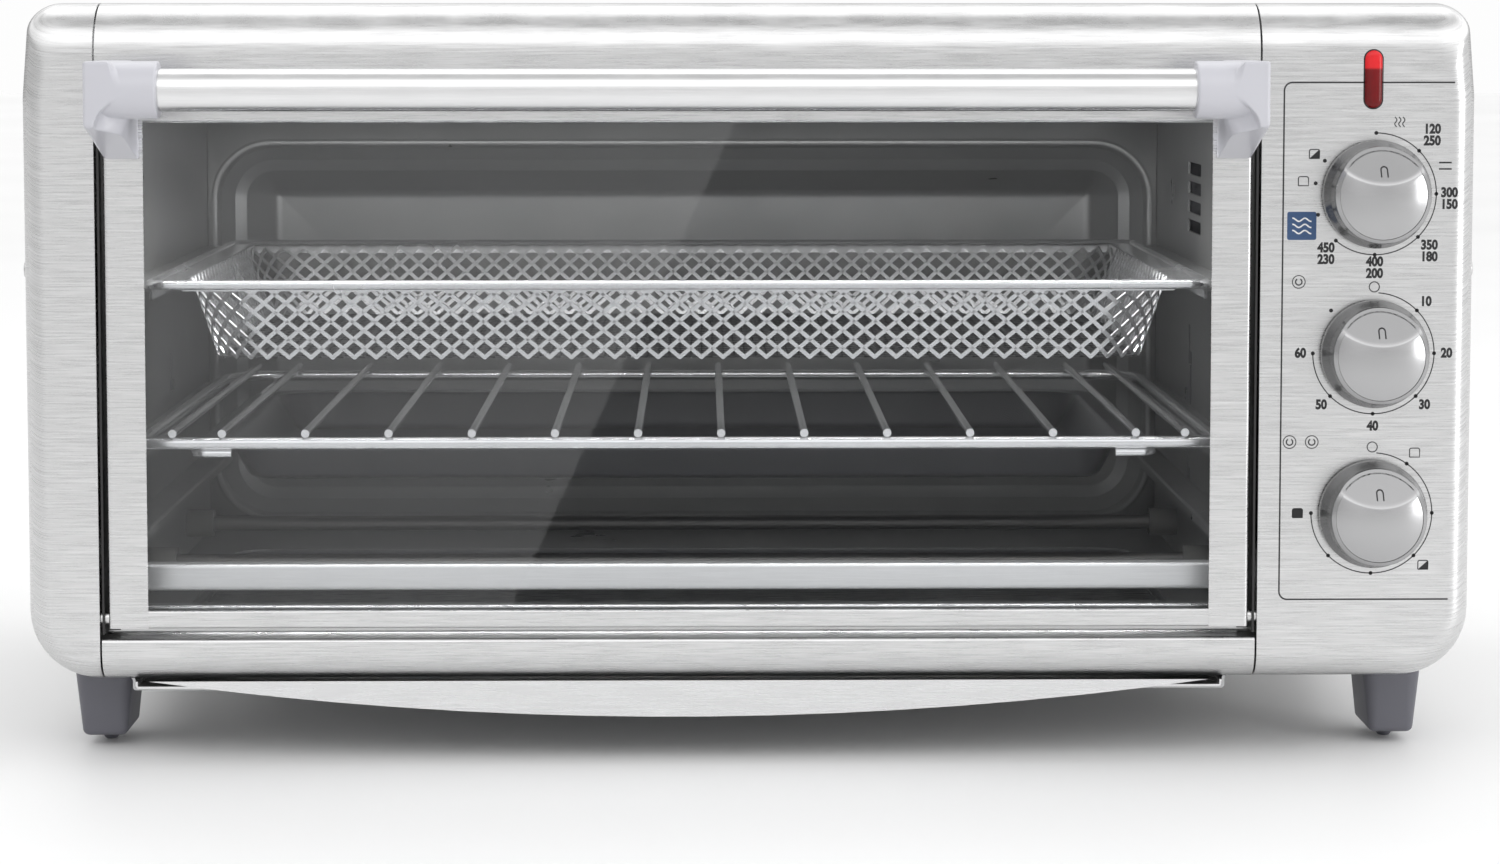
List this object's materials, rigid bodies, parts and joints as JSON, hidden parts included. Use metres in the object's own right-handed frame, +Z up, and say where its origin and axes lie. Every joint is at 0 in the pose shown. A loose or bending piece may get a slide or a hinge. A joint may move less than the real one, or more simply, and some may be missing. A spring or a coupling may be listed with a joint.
{
  "type": "toaster oven",
  "caption": "Extra-wide countertop toaster oven with a drop-down glass door, rotary controls, wire rack, mesh air-fry basket, baking pan and slide-out crumb tray.",
  "frame": {"origin": "under the middle of the oven, on the surface its feet stand on", "axes": "+X to the right seen from the front, +Y towards the back, +Z up; the door faces -Y"},
  "size_m": [0.5484, 0.395, 0.287],
  "materials": {
    "brushed_panel": "horizontal brushed satin",
    "zinc_sheet": "plain galvanised sheet",
    "cavity_steel": "aluminised, slightly heat-toned",
    "guard_steel": "bright",
    "element_sheath": "oxidised grey sheath",
    "ceramic": "matte",
    "terminal_brass": "plain",
    "door_glass": "lightly tinted tempered glass",
    "handle_steel": "fine lengthwise brushing",
    "bracket_plastic": "light cool grey, fine texture",
    "foot_plastic": "slate grey",
    "pad_rubber": "matte",
    "knob_silver": "satin silver paint",
    "lens_red": "clear deep red",
    "lamp_glass": "small neon lamp",
    "shaft_steel": "turned",
    "switch_plastic": "moulded phenolic",
    "motor_steel": "plain",
    "fan_aluminium": "stamped",
    "bell_steel": "polished",
    "gland_plastic": "moulded",
    "rack_chrome": "bright plated wire",
    "basket_steel": "bright expanded sheet",
    "pan_enamel": "dark non-stick coat",
    "tray_steel": "satin",
    "screw_steel": "plated"
  },
  "bodies": {
    "housing": {"bake_timer": "switch_plastic", "base_plate": "zinc_sheet", "cavity_back": "cavity_steel", "cavity_floor": "cavity_steel", "cavity_left_wall": "cavity_steel", "cavity_right_wall": "cavity_steel", "cavity_top": "cavity_steel", "control_bracket": "zinc_sheet", "cord_gland": "gland_plastic", "cover_screws": "screw_steel", "door_jambs": "zinc_sheet", "element_guard": "guard_steel", "element_insulators": "ceramic", "element_terminals": "terminal_brass", "fan_motor": "motor_steel", "feet": "foot_plastic", "foot_pads": "pad_rubber", "foot_screws": "screw_steel", "front_header": "brushed_panel", "front_sill": "brushed_panel", "heat_shield": "zinc_sheet", "heating_elements": "element_sheath", "hinge_pins": "shaft_steel", "hinge_springs": "shaft_steel", "indicator_lamp": "lamp_glass", "indicator_lens": "lens_red", "left_end_panel": "brushed_panel", "mode_switch": "switch_plastic", "rack_guides": "cavity_steel", "rear_cover": "zinc_sheet", "right_end_panel": "brushed_panel", "terminal_block": "switch_plastic", "thermal_fuse": "switch_plastic", "thermostat_bulb": "shaft_steel", "timer_bell": "bell_steel", "toast_timer": "switch_plastic", "top_cover": "brushed_panel"},
    "door": {"door_trims": "brushed_panel", "door_glass": "door_glass", "door_rails": "brushed_panel", "hinge_blocks": "zinc_sheet", "handle_bar": "handle_steel", "handle_bracket_left": "bracket_plastic", "handle_bracket_right": "bracket_plastic", "handle_screws": "screw_steel"},
    "wire_rack": {"rack_rim": "rack_chrome", "rack_front_rail": "rack_chrome", "rack_wires": "rack_chrome", "baking_pan": "pan_enamel"},
    "air_fry_basket": {"basket_rim": "basket_steel", "basket_mesh": "basket_steel"},
    "tray": {"crumb_tray": "tray_steel"},
    "mode_knob": {"selector_knob": "knob_silver", "selector_shaft": "shaft_steel"},
    "bake_knob": {"timer_knob": "knob_silver", "timer_shaft": "shaft_steel"},
    "toast_knob": {"toast_knob": "knob_silver", "toast_shaft": "shaft_steel"},
    "fan": {"fan_impeller": "fan_aluminium", "fan_shaft": "shaft_steel"}
  },
  "joints": [
    {"name": "door_hinge", "type": "hinge", "parent": "housing", "child": "door", "pos_m": [-0.0269, -0.146, 0.0551], "axis": [1, 0, 0], "range_deg": [0, 90], "stiffness_Nm_per_rad": 0.35, "springref_deg": -34.38},
    {"name": "rack_slide", "type": "slide", "parent": "housing", "child": "wire_rack", "axis": [0, -1, 0], "range_m": [0, 0.075]},
    {"name": "basket_slide", "type": "slide", "parent": "housing", "child": "air_fry_basket", "axis": [0, -1, 0], "range_m": [0, 0.095]},
    {"name": "tray_slide", "type": "slide", "parent": "housing", "child": "tray", "axis": [0, -1, 0], "range_m": [0, 0.16]},
    {"name": "mode_turn", "type": "hinge", "parent": "housing", "child": "mode_knob", "pos_m": [0.2346, -0.16, 0.2155], "axis": [0, 1, 0], "range_deg": [0, 303]},
    {"name": "bake_turn", "type": "hinge", "parent": "housing", "child": "bake_knob", "pos_m": [0.2346, -0.16, 0.1554], "axis": [0, 1, 0], "range_deg": [0, 315]},
    {"name": "toast_turn", "type": "hinge", "parent": "housing", "child": "toast_knob", "pos_m": [0.2346, -0.16, 0.0948], "axis": [0, 1, 0], "range_deg": [0, 270]},
    {"name": "fan_spin", "type": "hinge", "parent": "housing", "child": "fan", "pos_m": [0.2, 0.0165, 0.205], "axis": [1, 0, 0], "continuous": true}
  ],
  "couplings": [
    {"joint": "rack_slide", "follows": "door_hinge", "m_per_rad": 0.047},
    {"joint": "basket_slide", "follows": "door_hinge", "m_per_rad": 0.06}
  ]
}
